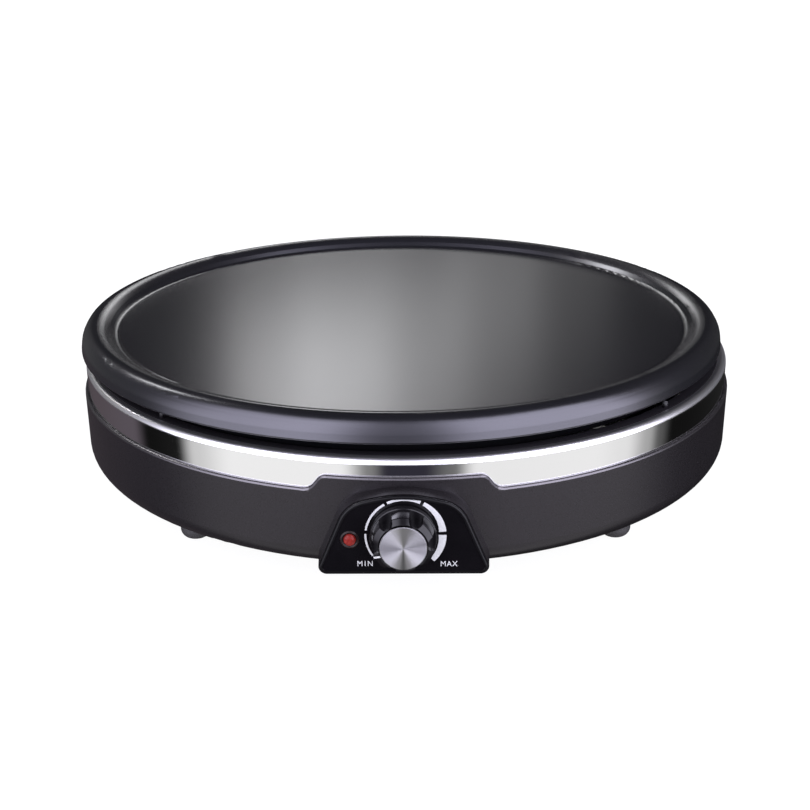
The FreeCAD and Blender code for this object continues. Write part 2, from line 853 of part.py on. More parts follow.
# ---------------------------------------------------------------- knob and spindle
knob_at = (0, -d.panel_y, d.dial_z)
knob = new_body("knob", knob_at, FRONT)
cf = d.cap_front
revolve(
    knob,
    [
        (0, 0.4),
        (d.skirt_knob, 0.4),
        (d.skirt_knob, 2.6, 0.6),
        (d.grip_low, 3.0),
        (d.grip_high, cf - 2.4, 0.6),
        (d.cap_rad + 0.35, cf - 0.2, 0.4),
        (d.cap_rad + 0.1, cf - 0.9),
        (d.cap_rad - 0.3, cf - 1.2),
        (0, cf - 1.2),
    ],
)
cx, cz = 12.7 * cosd(5.0), 12.7 * sind(5.0)
flute = extrude(knob, round_at(cx, cz, 3.1), 3.0, cf + 2, cut=True)
polar(knob, flute, 6)
extrude(
    knob,
    lambda sk: (circle(sk, 0, 0, 8.2), circle(sk, 0, 0, 5.4)),
    -1,
    cf - 3.2,
    cut=True,
)
# D bore for the spindle
FLAT = 2.2
extrude(knob, round_at(0, 0, d.shaft_rad + 0.02), -1, cf - 3.0, cut=True)
extrude(knob, oblong(-3.2, 3.2, -(FLAT + 1.4), -(FLAT + 0.02)), 1.4, cf - 3.0)
# rib under the painted pointer line
rib = extrude(knob, oblong(9.9, 12.9, -0.45, 0.45), 6.0, cf - 1.5)
rib.Profile[0].AttachmentOffset = Placement(
    Vector(0, 0, 6.0), Rotation(Vector(0, 0, 1), 206.0)
)
cap = new_body("knob_cap", knob_at, FRONT)
revolve(cap, [(0, cf - 1.2), (d.cap_rad - 0.35, cf - 1.2), (d.cap_rad, cf - 0.8), (d.cap_rad, cf, 0.35), (0, cf)])

spindle = new_body("spindle", knob_at, FRONT)
# local Z runs forward from the panel's face; the stop lug is behind the bush
LUG0 = -(d.panel_y - 137.6)
LUG1 = -(d.panel_y - 140.2)
TAIL = -(d.panel_y - 136.6)
revolve(
    spindle,
    [
        (0, TAIL),
        (d.shaft_rad, TAIL),
        (d.shaft_rad, LUG0),
        (4.6, LUG0),
        (4.6, LUG1),
        (d.shaft_rad, LUG1),
        (d.shaft_rad, cf - 3.4, 0.5),
        (0, cf - 3.4),
    ],
)


def sector(r0, r1, a0, a1):
    am = (a0 + a1) / 2.0
    inner_side = [(r0 * cosd(a), r0 * sind(a)) for a in (a0, am, a1)]
    outer_side = [(r1 * cosd(a), r1 * sind(a)) for a in (a1, am, a0)]
    return drawn(*(inner_side + outer_side))


extrude(spindle, sector(3.6, 8.2, 185.0, 245.0), LUG0, LUG1)
extrude(spindle, oblong(-3.5, 3.5, -(FLAT + 2.0), -FLAT), 1.4, cf, cut=True)

# ---------------------------------------------------------------- thermostat
th_at = (0, -d.panel_y, d.dial_z)
B0 = -(d.panel_y - d.bracket_y)
B1 = B0 + d.bracket_thick
leg_top = d.boss_z - d.dial_z
bracket = new_body("thermostat_bracket", th_at, FRONT)
extrude(bracket, oblong(-13, 13, -12, leg_top, 2), B0, B1)
extrude(bracket, oblong(-9, 9, leg_top - 1.2, leg_top), B0 - 32, B1)
extrude(bracket, round_at(0, 0, d.bush_rad + 0.05), B0 - 1, B1 + 1, cut=True)
# stop tab for the spindle's lug
extrude(bracket, sector(7.0, 10.2, 246.0, 294.0), LUG0, B1)
# hole for the bracket screw through the upper leg
extrude(
    bracket,
    round_at(0, -(d.panel_y - 128), 2.2),
    -(leg_top + 1),
    -(leg_top - 2.2),
    "XZ_Plane",
    cut=True,
)

bush = new_body("thermostat_bush", th_at, FRONT)
revolve(
    bush,
    [
        (d.shaft_rad + 0.05, B0 - 1.5),
        (6.5, B0 - 1.5),
        (6.5, B0),
        (d.bush_rad, B0),
        (d.bush_rad, B0 + 10.0, 0.5),
        (d.shaft_rad + 0.05, B0 + 10.0),
    ],
)
nut = new_body("thermostat_nut", th_at, FRONT)
HEX = [(7.5 * cosd(60.0 * i), 7.5 * sind(60.0 * i)) for i in range(6)]
extrude(nut, drawn(*HEX), B1, B1 + 3.0)
extrude(nut, round_at(0, 0, d.bush_rad), B1 - 1, B1 + 4, cut=True)
turned_group(
    "bracket_screw",
    [(0, 53.6), (3.4, 53.6, 1.0), (3.4, 56.8), (1.98, 56.8), (1.98, 66.0), (0, 66.0)],
    [(0, -128, 0)],
)

# ceramic stack: a guide block, two spacers, two blades and their contacts
GUIDE0 = -(d.panel_y - 122.0)
GUIDE1 = -(d.panel_y - 134.0)
low, roof = -6.0, leg_top - 1.2
guide = new_body("ceramic_guide", th_at, FRONT)
extrude(guide, oblong(-6, 6, low, roof), GUIDE0, GUIDE1)
extrude(guide, oblong(-6, 6, 12.0, roof), GUIDE0 - 2.0, GUIDE0)
extrude(guide, round_at(0, 0, 1.55), GUIDE0 - 3, GUIDE1 + 1, cut=True)
extrude(guide, round_at(0, 16.5, 1.5), GUIDE0 - 3, GUIDE1 + 1, cut=True)
# room for the bracket screw's head, which sits above the block's middle
extrude(guide, oblong(-4.2, 4.2, 19.0, roof + 1), -(d.panel_y - 123.6), -(d.panel_y - 132.4), cut=True)
M1 = GUIDE0 - 2.0
moving = new_body("moving_blade", th_at, FRONT)
extrude(moving, oblong(-4, 4, low - 3, 20.0), M1 - 0.4, M1)
extrude(moving, round_at(0, 16.5, 1.5), M1 - 1, M1 + 1, cut=True)
spacer_a = new_body("ceramic_spacers", th_at, FRONT)
spacer_a.AllowCompound = True
extrude(spacer_a, oblong(-6, 6, 12.0, 21.0), M1 - 4.0, M1 - 0.4)
extrude(spacer_a, oblong(-6, 6, 12.0, 21.0), M1 - 8.0, M1 - 4.4)
extrude(spacer_a, round_at(0, 16.5, 1.5), M1 - 9, M1 + 1, cut=True)
fixed = new_body("fixed_blade", th_at, FRONT)
extrude(fixed, oblong(-4, 4, low - 3, 20.0), M1 - 4.4, M1 - 4.0)
extrude(fixed, round_at(0, 16.5, 1.5), M1 - 5, M1 - 3, cut=True)
contacts = new_body("contact_points", th_at, FRONT)
contacts.AllowCompound = True
extrude(contacts, round_at(0, -5.0, 1.6), M1 - 1.5, M1 - 0.4)
extrude(contacts, round_at(0, -5.0, 1.6), M1 - 4.0, M1 - 2.9)
rivet = new_body("stack_rivet", th_at, FRONT)
revolve(
    rivet,
    [
        (0, M1 - 9.2),
        (2.8, M1 - 9.2, 0.6),
        (2.8, M1 - 8.0),
        (1.48, M1 - 8.0),
        (1.48, GUIDE1),
        (2.8, GUIDE1),
        (2.8, GUIDE1 + 1.2, 0.6),
        (0, GUIDE1 + 1.2),
    ],
)
rivet.Placement = Placement(Vector(0, -173.3, 34.2 + 16.5), FRONT)
rivet.setExpression("Placement.Base.y", (-d.panel_y).text)
rivet.setExpression("Placement.Base.z", (d.dial_z + 16.5).text)
pin = new_body("adjusting_pin", th_at, FRONT)
revolve(
    pin,
    [
        (0, GUIDE0 - 0.9),
        (1.5, GUIDE0 - 0.9, 0.4),
        (1.5, TAIL - 0.35),
        (0, TAIL - 0.35),
    ],
)
# bimetal strip under the bracket's leg
bimetal = new_body("bimetal_blade", th_at, FRONT)
extrude(bimetal, oblong(6.6, 8.9, leg_top - 2.2, leg_top - 1.2), B0 - 30, B0 - 1)
extrude(bimetal, oblong(6.6, 8.9, 6.0, leg_top - 2.2), B0 - 30, B0 - 29.2)

# ---------------------------------------------------------------- safety fuse
fuse_at = (34.0, -40.0, 66.6)
fuse = new_body("thermal_fuse", fuse_at, Rotation(Vector(0, 1, 0), 90))
revolve(fuse, [(0, -13), (0.5, -13), (0.5, -6), (2.1, -6, 0.5), (2.1, 6, 0.5), (0.5, 6), (0.5, 13), (0, 13)])
clip = new_body("fuse_clip", (34.0, -40.0, 0))
extrude(clip, oblong(-4, 4, -10.5, 3.8), 63.2, 64.2)
extrude(clip, oblong(-4, 4, 2.8, 3.8), 64.2, 67.0)
extrude(clip, oblong(-4, 4, -3.8, -2.8), 64.2, 67.0)
extrude(clip, round_at(0, -7.4, 1.5), 60, 68, cut=True)
extrude(plate, round_at(34.0 + d.plate_shift, -47.4, 3.2), 64.2, d.plate_under + 0.5)
extrude(plate, round_at(34.0 + d.plate_shift, -47.4, 1.52), 63, d.plate_under + 1.5, cut=True)
turned_group(
    "fuse_screw",
    [(0, 61.2), (2.7, 61.2, 0.7), (2.7, 63.2), (1.48, 63.2), (1.48, 69.4), (0, 69.4)],
    [(34.0, -47.4, 0)],
)

# ---------------------------------------------------------------- mains entry
gland = new_body("cord_gland", (0, 0, d.gland_z), REAR)
revolve(
    gland,
    [
        (d.gland_bore, 158.0),
        (6.9, 158.0),
        (6.9, d.rear_y),
        (9.0, d.rear_y),
        (9.0, d.rear_y + 3.0, 0.8),
        (6.2, d.rear_y + 9.6, 1.0),
        (d.gland_bore, d.rear_y + 9.6),
    ],
)
gland_nut = new_body("gland_nut", (0, 0, d.gland_z), REAR)
HEX2 = [(10.4 * cosd(60.0 * i), 10.4 * sind(60.0 * i)) for i in range(6)]
extrude(gland_nut, drawn(*HEX2), d.rear_y - d.wall - 6.0, d.rear_y - d.wall)
extrude(gland_nut, round_at(0, 0, 6.9), 150, 180, cut=True)

block = new_body("terminal_block", (0, 106, 0))
extrude(block, oblong(-17, 17, -8, 8, 1.5), c1, c1 + 5.0)
extrude(block, oblong(-16, 16, -7, 7, 1.2), c1 + 5.0, c1 + 14.0)
TB = [(-10.5, 0), (0, 0), (10.5, 0)]
extrude(
    block,
    both(
        round_at(-10.5, c1 + 8.0, 2.3),
        round_at(0, c1 + 8.0, 2.3),
        round_at(10.5, c1 + 8.0, 2.3),
    ),
    -20,
    20,
    "XZ_Plane",
    cut=True,
)
extrude(block, rounds([(x, -4.2) for x, y in TB] + [(x, 4.2) for x, y in TB], 1.6), c1 + 9.5, c1 + 16, cut=True)
turned_group(
    "terminal_screws",
    [(0, c1 + 9.5), (1.55, c1 + 9.5), (1.55, c1 + 13.5), (0, c1 + 13.5)],
    [(x, 106 + s, 0) for x, y in TB for s in (-4.2, 4.2)],
)


# ---------------------------------------------------------------- internal wiring
def routed(points, radius):
    """Straight runs joined by arcs that are tangent to both runs."""
    pts = [Vector(*p) for p in points]
    edges, at = [], pts[0]
    for i in range(1, len(pts) - 1):
        a, b = pts[i] - pts[i - 1], pts[i + 1] - pts[i]
        turn = a.getAngle(b)
        run = min(a.Length, b.Length)
        arc_r = 0.45 * run / math.tan(turn / 2)
        t = 0.45 * run
        ua, ub = Vector(a).normalize(), Vector(b).normalize()
        p0, p1 = pts[i] - ua * t, pts[i] + ub * t
        bis = (ub - ua).normalize()
        mid = pts[i] + bis * (arc_r / math.cos(turn / 2) - arc_r)
        edges.append(Part.LineSegment(at, p0).toShape())
        edges.append(Part.Arc(p0, mid, p1).toShape())
        at = p1
    edges.append(Part.LineSegment(at, pts[-1]).toShape())
    path = Part.Wire(edges)
    tube = tube_along(path, pts[0], pts[1] - pts[0], radius)
    want = math.pi * radius**2 * path.Length
    if abs(tube.Volume - want) > 0.02 * want:
        raise RuntimeError("wire volume %.1f, expected %.1f" % (tube.Volume, want))
    return tube


th = d.dial_z.value
tb_z = 10.2 + 8.0
WR = 1.1
shaped(
    "live_wire",
    routed(
        [(-10.5, 97.5, tb_z), (-14, 66, tb_z + 2), (-34, 24, 22), (-38, -26, 24), (-24, -74, 24.5), (-3.2, -100, 25), (-1.6, -112.4, 26.5)],
        WR,
    ),
)
shaped(
    "neutral_wire",
    routed([(10.5, 97.5, tb_z), (12, 84, tb_z + 1), (22, 78, 22), (29, 82, 26), (fa.x + 1.0, fa.y - 4.0, 29.1)], WR),
)
shaped(
    "switched_wire",
    routed(
        [(2.4, -124.4, 23.6), (14, -112, 22), (28, -84, 24), (34, -40, 30), (18, 6, 34), (-14, 44, 34), (-34, 70, 32), (fb.x - 2.0, fb.y - 6.0, 29.1)],
        WR,
    ),
)
shaped(
    "earth_wire",
    routed([(0.0, 97.5, tb_z), (1.5, 78, 22), (12, 66, 34), (30, 84, 45), (24, 104, 50.6), (10.5, 112.0, 51.15)], 1.0),
)
shaped(
    "lamp_lead",
    routed([(-21.7, -156.4, 32.0),(-22.2, -146, 31), (-17, -134, 27), (-8, -127.5, 24), (-3.5, -123.0, 23.4)], 0.8),
)

# ---------------------------------------------------------------- checks and export
doc.recompute()
bad = []
for obj in doc.Objects:
    for state in ("Invalid", "Error"):
        if state in obj.State:
            bad.append("%s is %s" % (obj.Label, state))
for obj in SUBPARTS:
    if obj.Shape.isNull() or not obj.Shape.isValid() or not obj.Shape.Solids:
        bad.append("%s has no valid shape" % obj.Label)
    elif any(s.Volume <= 0 for s in obj.Shape.Solids):
        bad.append("%s is inside out" % obj.Label)
labels = [obj.Label for obj in SUBPARTS]
if len(set(labels)) != len(labels):
    bad.append("two sub-parts share a label")
if bad:
    for line in bad:
        print("FAULT", line)
    sys.exit(1)
os.makedirs("parts", exist_ok=True)
for obj in SUBPARTS:
    obj.Shape.exportStep("parts/%s.step" % obj.Label)
    box = obj.Shape.BoundBox
    print(
        "%-20s solids %d volume %9.1f  x %.1f..%.1f y %.1f..%.1f z %.1f..%.1f"
        % (obj.Label, len(obj.Shape.Solids), obj.Shape.Volume, box.XMin, box.XMax, box.YMin, box.YMax, box.ZMin, box.ZMax)
    )
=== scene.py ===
import json
import math

import bmesh
import bpy
from mathutils import Matrix, Vector


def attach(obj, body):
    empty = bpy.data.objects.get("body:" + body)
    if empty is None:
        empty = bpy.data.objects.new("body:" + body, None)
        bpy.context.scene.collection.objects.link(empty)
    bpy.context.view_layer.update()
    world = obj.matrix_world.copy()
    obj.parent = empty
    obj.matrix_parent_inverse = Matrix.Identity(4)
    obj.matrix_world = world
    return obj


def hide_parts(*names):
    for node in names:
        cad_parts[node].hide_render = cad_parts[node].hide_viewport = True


# ------------------------------------------------------------------ frame
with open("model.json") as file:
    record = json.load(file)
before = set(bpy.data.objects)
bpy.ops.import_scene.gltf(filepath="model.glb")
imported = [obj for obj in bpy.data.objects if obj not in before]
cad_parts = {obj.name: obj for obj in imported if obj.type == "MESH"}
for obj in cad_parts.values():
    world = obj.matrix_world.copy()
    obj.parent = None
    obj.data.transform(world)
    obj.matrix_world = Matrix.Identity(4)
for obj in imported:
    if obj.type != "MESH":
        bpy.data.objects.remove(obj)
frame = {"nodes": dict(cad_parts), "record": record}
nodes = frame["nodes"]
scene = bpy.context.scene


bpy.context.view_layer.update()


# ------------------------------------------------------------------ camera
# The picture is 810 x 810 with a focal length of 1220 pixels.
cam_data = bpy.data.cameras.new("photo_camera")
cam_data.sensor_width = 36.0
cam_data.lens = 1220.0 / 810.0 * 36.0
cam_data.clip_start = 0.01
cam_data.clip_end = 50.0
cam = bpy.data.objects.new("photo_camera", cam_data)
scene.collection.objects.link(cam)
eye, target = Vector((0.00554518, -0.61097484, 0.2587)), Vector((-0.00075, 0.0, 0.0235))
look = (target - eye).to_track_quat("-Z", "Y").to_matrix().to_4x4()
cam.matrix_world = (
    Matrix.Translation(eye) @ look @ Matrix.Rotation(math.radians(-0.46), 4, "Z")
)
scene.camera = cam


# ------------------------------------------------------------------ node helpers
class Mat:
    """A material made of nodes, with short calls for the usual ones."""

    def __init__(self, name):
        self.m = bpy.data.materials.new(name)
        self.m.use_nodes = True
        self.t = self.m.node_tree
        self.t.nodes.clear()
        self.out = self.t.nodes.new("ShaderNodeOutputMaterial")
        self.bsdf = self.t.nodes.new("ShaderNodeBsdfPrincipled")
        self.link(self.bsdf.outputs[0], self.out.inputs["Surface"])
        self.coord = self.t.nodes.new("ShaderNodeTexCoord")
        self.normal = None

    def link(self, a, b):
        self.t.links.new(a, b)

    def set(self, **values):
        for key, v in values.items():
            s = self.bsdf.inputs[key.replace("_", " ")]
            if isinstance(v, (tuple, list)) and len(v) == 3 and s.type == "RGBA":
                v = (*v, 1.0)
            s.default_value = v
        return self

    def put(self, key, socket):
        self.link(socket, self.bsdf.inputs[key])
        return self

    def math(self, op, a, b=None, c=None, clamp=False):
        n = self.t.nodes.new("ShaderNodeMath")
        n.operation = op
        n.use_clamp = clamp
        for i, v in enumerate((a, b, c)):
            if v is None:
                continue
            if isinstance(v, (int, float)):
                n.inputs[i].default_value = v
            else:
                self.link(v, n.inputs[i])
        return n.outputs[0]

    def vmath(self, op, a, b=None):
        n = self.t.nodes.new("ShaderNodeVectorMath")
        n.operation = op
        for i, v in enumerate((a, b)):
            if v is None:
                continue
            if isinstance(v, (tuple, list)):
                n.inputs[i].default_value = v
            else:
                self.link(v, n.inputs[i])
        return n.outputs["Value"] if op in ("LENGTH", "DOT_PRODUCT") else n.outputs[0]

    def place(self, scale=(1, 1, 1), turn=(0, 0, 0), move=(0, 0, 0)):
        n = self.t.nodes.new("ShaderNodeMapping")
        n.inputs["Location"].default_value = move
        n.inputs["Rotation"].default_value = turn
        n.inputs["Scale"].default_value = scale
        self.link(self.coord.outputs["Object"], n.inputs["Vector"])
        return n.outputs[0]

    def noise(self, scale, detail=3.0, rough=0.55, vector=None):
        n = self.t.nodes.new("ShaderNodeTexNoise")
        n.inputs["Scale"].default_value = scale
        n.inputs["Detail"].default_value = detail
        n.inputs["Roughness"].default_value = rough
        self.link(vector or self.coord.outputs["Object"], n.inputs["Vector"])
        return n.outputs["Fac"]

    def voronoi(self, scale, feature="F1", vector=None):
        n = self.t.nodes.new("ShaderNodeTexVoronoi")
        n.feature = feature
        n.inputs["Scale"].default_value = scale
        self.link(vector or self.coord.outputs["Object"], n.inputs["Vector"])
        return n.outputs["Distance"]

    def remap(self, value, low, high, to_low=0.0, to_high=1.0):
        n = self.t.nodes.new("ShaderNodeMapRange")
        n.inputs["From Min"].default_value = low
        n.inputs["From Max"].default_value = high
        n.inputs["To Min"].default_value = to_low
        n.inputs["To Max"].default_value = to_high
        self.link(value, n.inputs["Value"])
        return n.outputs[0]

    def mix(self, fac, a, b):
        n = self.t.nodes.new("ShaderNodeMix")
        n.data_type = "RGBA"
        for key, v in (("Factor", fac), ("A", a), ("B", b)):
            s = [i for i in n.inputs if i.name == key and (i.type == "RGBA" or key == "Factor" and i.type == "VALUE")][0]
            if isinstance(v, (tuple, list)):
                s.default_value = (*v, 1.0) if len(v) == 3 else v
            elif isinstance(v, (int, float)):
                s.default_value = v
            else:
                self.link(v, s)
        return [o for o in n.outputs if o.type == "RGBA"][0]

    def bump(self, height, strength, distance):
        n = self.t.nodes.new("ShaderNodeBump")
        n.inputs["Strength"].default_value = strength
        n.inputs["Distance"].default_value = distance
        self.link(height, n.inputs["Height"])
        if self.normal is not None:
            self.link(self.normal, n.inputs["Normal"])
        self.normal = n.outputs[0]
        self.link(self.normal, self.bsdf.inputs["Normal"])
        return self

    def xyz(self, vector=None):
        n = self.t.nodes.new("ShaderNodeSeparateXYZ")
        self.link(vector or self.coord.outputs["Object"], n.inputs[0])
        return n.outputs


def give(obj, mat):
    m = mat.m if isinstance(mat, Mat) else mat
    if obj.data.materials:
        for i in range(len(obj.data.materials)):
            obj.data.materials[i] = m
    else:
        obj.data.materials.append(m)


# ------------------------------------------------------------------ materials
def plastic(name, colour, rough, grain=900.0, bump=0.10, spread=0.06, spec=0.5):
    """Moulded plastic: fine spark-eroded grain and a little unevenness."""
    m = Mat(name)
    m.set(Specular_IOR_Level=spec)
    big = m.noise(18.0, 2.0)
    fine = m.noise(grain, 2.0, 0.6)
    m.put("Base Color", m.mix(m.remap(big, 0.3, 0.7), colour, tuple(c * 1.18 for c in colour)))
    m.put("Roughness", m.remap(m.math("ADD", m.math("MULTIPLY", big, 0.5), m.math("MULTIPLY", fine, 0.5)), 0.3, 0.7, rough - spread, rough + spread))
    if bump:
        m.bump(fine, bump, 0.0002)
    return m


def metal(name, colour, rough, spread=0.05, scratch=None, bump=0.02):
    m = Mat(name)
    m.set(Metallic=1.0)
    cloud = m.noise(30.0, 3.0)
    m.put("Base Color", m.mix(m.remap(cloud, 0.3, 0.7), colour, tuple(c * 0.9 for c in colour)))
    m.put("Roughness", m.remap(cloud, 0.3, 0.7, max(0.02, rough - spread), rough + spread))
    if scratch:
        lines = m.noise(600.0, 2.0, 0.7, m.place(scale=scratch))
        m.bump(lines, bump, 0.0002)
    return m


M = {}

# body shell: matt black plastic, faintly warm purple
m = Mat("shell_plastic")
m.set(Specular_IOR_Level=0.33, Specular_Tint=(1.0, 0.95, 1.0))
big, fine = m.noise(14.0, 2.0), m.noise(1500.0, 2.0, 0.6)
m.put("Base Color", m.mix(m.remap(big, 0.3, 0.7), (0.0052, 0.0046, 0.0052), (0.0064, 0.0056, 0.0064)))
m.put("Roughness", m.remap(fine, 0.3, 0.7, 0.26, 0.34))
m.bump(fine, 0.06, 0.0001)
# painted highlight and shade: the lip's edge reflects more strongly, a painted highlight; the hood over the dial
# reflects less, a painted shade
x, y, z = m.xyz()
wide = m.math("ABSOLUTE", x)
away = m.math("GREATER_THAN", wide, 0.0386)
lip_painted_highlight = m.math("ADD", m.math("MULTIPLY", away, m.math("GREATER_THAN", z, 0.0478)), m.math("GREATER_THAN", z, 0.0544), clamp=True)
hood_painted_shade = m.math("MULTIPLY", m.remap(wide, 0.036, 0.016), m.math("LESS_THAN", y, -0.1652))
m.put("Specular IOR Level", m.math("ADD", m.math("SUBTRACT", 0.34, m.math("MULTIPLY", hood_painted_shade, 0.24)), m.math("MULTIPLY", lip_painted_highlight, 0.55)))
M["shell_plastic"] = m

# polished steel: nearly a mirror, with fine lines that run around the band
m = Mat("polished_steel")
x, y, z = m.xyz()
rings = m.noise(1.0, 2.0, 0.6, m.place(scale=(6.0, 6.0, 2600.0)))
m.put("Roughness", m.remap(rings, 0.3, 0.7, 0.035, 0.075))
m.bump(rings, 0.012, 0.0001)
# the bead is satin and its colour darker, a painted shade that dims its reflection; the flange that runs in under the
# plate is painted shade, near black with almost no reflection, and the tops of the tabs carry a painted glint in dim
# grey
inside = m.math("LESS_THAN", m.math("SQRT", m.math("ADD", m.math("MULTIPLY", x, x), m.math("MULTIPLY", y, y))), 0.1590)
bead = m.math("MULTIPLY", m.remap(z, 0.0598, 0.0612), m.math("SUBTRACT", 1.0, inside), clamp=True)
flange_painted_shade_tab_glint = m.mix(m.remap(z, 0.0633, 0.0645), (0.012, 0.011, 0.013), (0.09, 0.09, 0.095))
bright = m.mix(bead, (0.93, 0.925, 0.93), (0.76, 0.75, 0.765))
m.put("Base Color", m.mix(inside, bright, flange_painted_shade_tab_glint))
m.put("Metallic", m.math("SUBTRACT", 1.0, inside))
m.put("Specular IOR Level", m.math("SUBTRACT", 0.5, m.math("MULTIPLY", inside, 0.44)))
m.put("Roughness", m.math("ADD", m.math("ADD", m.remap(rings, 0.3, 0.7, 0.035, 0.075), m.math("MULTIPLY", inside, 0.5)), m.math("MULTIPLY", bead, 0.27)))
M["polished_steel"] = m

# cooking plate: dark non-stick coating with a fine grain and a violet cast
m = Mat("nonstick")
m.set(Specular_Tint=(0.92, 0.91, 1.0))
big, fine = m.noise(9.0, 3.0), m.noise(1800.0, 3.0, 0.65)
m.put("Base Color", m.mix(m.remap(big, 0.3, 0.7), (0.0036, 0.0036, 0.0044), (0.0046, 0.0046, 0.0056)))
m.put("Roughness", m.remap(fine, 0.25, 0.75, 0.24, 0.27))
m.bump(fine, 0.006, 0.0001)
# the skirt and the underside get painted shade: almost no reflection, so the gap under the rim stays black
x, y, z = m.xyz()
off = m.math("ADD", x, 0.0024)
out = m.math("SQRT", m.math("ADD", m.math("MULTIPLY", off, off), m.math("MULTIPLY", y, y)))
outside_painted_shade = m.math("MAXIMUM", m.math("GREATER_THAN", z, 0.0694), m.math("GREATER_THAN", out, 0.1596))
m.put("Specular IOR Level", m.math("ADD", m.math("MULTIPLY", outside_painted_shade, 0.55), 0.02))
M["nonstick"] = m

# control panel and knob: high gloss black
m = Mat("gloss_black")
m.set(Base_Color=(0.0045, 0.0042, 0.0050), Specular_IOR_Level=0.5, Coat_Weight=0.0)
soft = m.noise(60.0, 2.0)
m.put("Roughness", m.remap(soft, 0.3, 0.7, 0.07, 0.12))
m.bump(m.noise(120.0, 2.0), 0.01, 0.0003)
M["gloss_black"] = m

# the knob: the same black, polished a little less
m = Mat("knob_black")
soft = m.noise(80.0, 2.0)
m.put("Base Color", m.mix(m.remap(soft, 0.3, 0.7), (0.0030, 0.0027, 0.0033), (0.0042, 0.0038, 0.0045)))
m.put("Roughness", m.remap(soft, 0.3, 0.7, 0.12, 0.17))
m.set(Specular_IOR_Level=0.19)
m.bump(m.noise(140.0, 2.0), 0.01, 0.0003)
KNOB = m

# the panel: gloss black face; its raised border is rougher and reflects less, a painted shade that dims its highlight
m = Mat("panel_black")
m.set(Specular_IOR_Level=0.35)
soft = m.noise(60.0, 2.0)
border_rough_and_dimmed = m.math("LESS_THAN", m.xyz()[1], -0.1729)
m.put("Base Color", m.mix(m.remap(soft, 0.3, 0.7), (0.0020, 0.0018, 0.0022), (0.0028, 0.0025, 0.0030)))
m.put("Roughness", m.math("ADD", m.remap(soft, 0.3, 0.7, 0.07, 0.12), m.math("MULTIPLY", border_rough_and_dimmed, 0.22)))
m.put("Specular IOR Level", m.math("SUBTRACT", 0.35, m.math("MULTIPLY", border_rough_and_dimmed, 0.24)))
m.bump(m.noise(120.0, 2.0), 0.01, 0.0003)
PANEL = m

# turned aluminium cap: circular brush lines about the cap's axis
m = Mat("brushed_alu")
m.set(Metallic=1.0, Anisotropic=0.85, Roughness=0.30)
sep = m.xyz(m.place(move=(0.0, 0.0, -0.0342)))
radius = m.math("SQRT", m.math("ADD", m.math("MULTIPLY", sep[0], sep[0]), m.math("MULTIPLY", sep[2], sep[2])))
lines = m.t.nodes.new("ShaderNodeTexNoise")
lines.noise_dimensions = "1D"
lines.inputs["Scale"].default_value = 9000.0
lines.inputs["Detail"].default_value = 2.0
m.link(radius, lines.inputs["W"])
m.bump(lines.outputs["Fac"], 0.10, 0.00005)
radial = m.t.nodes.new("ShaderNodeCombineXYZ")
m.link(sep[0], radial.inputs[0])
m.link(sep[2], radial.inputs[2])
cross = m.vmath("CROSS_PRODUCT", m.vmath("NORMALIZE", radial.outputs[0]), (0.0, 1.0, 0.0))
m.link(cross, m.bsdf.inputs["Tangent"])
# painted reflection: lighter and darker sectors, painted into the face's colour by angle about the cap's axis, stand
# for the sheen of the spun metal
turn = m.math("ADD", m.math("DIVIDE", m.math("ARCTAN2", sep[2], sep[0]), 2 * math.pi), 0.5)
painted_sheen_sectors = m.t.nodes.new("ShaderNodeValToRGB")
painted_sheen_sectors.color_ramp.interpolation = "EASE"
e = painted_sheen_sectors.color_ramp.elements
e[0].position, e[0].color = 0.0, (0.66, 0.65, 0.67, 1)
e[1].position, e[1].color = 1.0, (0.66, 0.65, 0.67, 1)
for deg, v in ((-165, 0.58), (-120, 0.70), (-104, 0.60), (-90, 0.24), (-76, 0.60), (-60, 0.74), (-15, 0.72), (2, 0.95), (14, 0.50), (60, 0.44), (90, 0.46), (106, 0.70), (150, 0.56)):
    x = e.new(0.5 + deg / 360.0)
    x.color = (v, v * 0.985, v * 1.01, 1)
m.link(turn, painted_sheen_sectors.inputs[0])
# painted shade: the cap's rounded edge is painted dark to hide its highlight
edge = m.remap(radius, 0.0090, 0.0093)
m.put("Base Color", m.mix(edge, painted_sheen_sectors.outputs[0], (0.10, 0.098, 0.10)))
M["brushed_alu"] = m

# red lens
m = Mat("red_lens")
m.set(Specular_IOR_Level=0.16, IOR=1.49)
m.put("Base Color", m.mix(m.remap(m.noise(700.0, 2.0), 0.35, 0.65), (0.13, 0.008, 0.007), (0.20, 0.020, 0.016)))
m.put("Roughness", m.remap(m.noise(300.0, 2.0), 0.3, 0.7, 0.28, 0.36))
M["red_lens"] = m

M["grey_plastic"] = plastic("grey_plastic", (0.007, 0.0035, 0.0035), 0.35, spec=0.14)
M["rubber_black"] = plastic("rubber_black", (0.012, 0.011, 0.012), 0.65, 700.0, 0.25)
M["ceramic"] = plastic("ceramic", (0.78, 0.75, 0.68), 0.65, 800.0, 0.2)
M["phenolic"] = plastic("phenolic", (0.05, 0.022, 0.012), 0.4)
M["wire_brown"] = plastic("wire_brown", (0.22, 0.07, 0.03), 0.5)
M["wire_blue"] = plastic("wire_blue", (0.03, 0.10, 0.45), 0.5)
M["wire_earth"] = plastic("wire_earth", (0.16, 0.45, 0.06), 0.5)
M["wire_white"] = plastic("wire_white", (0.75, 0.75, 0.74), 0.5)
M["plated_steel"] = metal("plated_steel", (0.62, 0.62, 0.60), 0.32, scratch=(1, 1, 8))
M["element_steel"] = metal("element_steel", (0.30, 0.27, 0.24), 0.45, scratch=(1, 1, 1))
M["brass"] = metal("brass", (0.75, 0.55, 0.24), 0.28)
M["bimetal"] = metal("bimetal", (0.52, 0.46, 0.38), 0.35)
m = Mat("neon_glass")
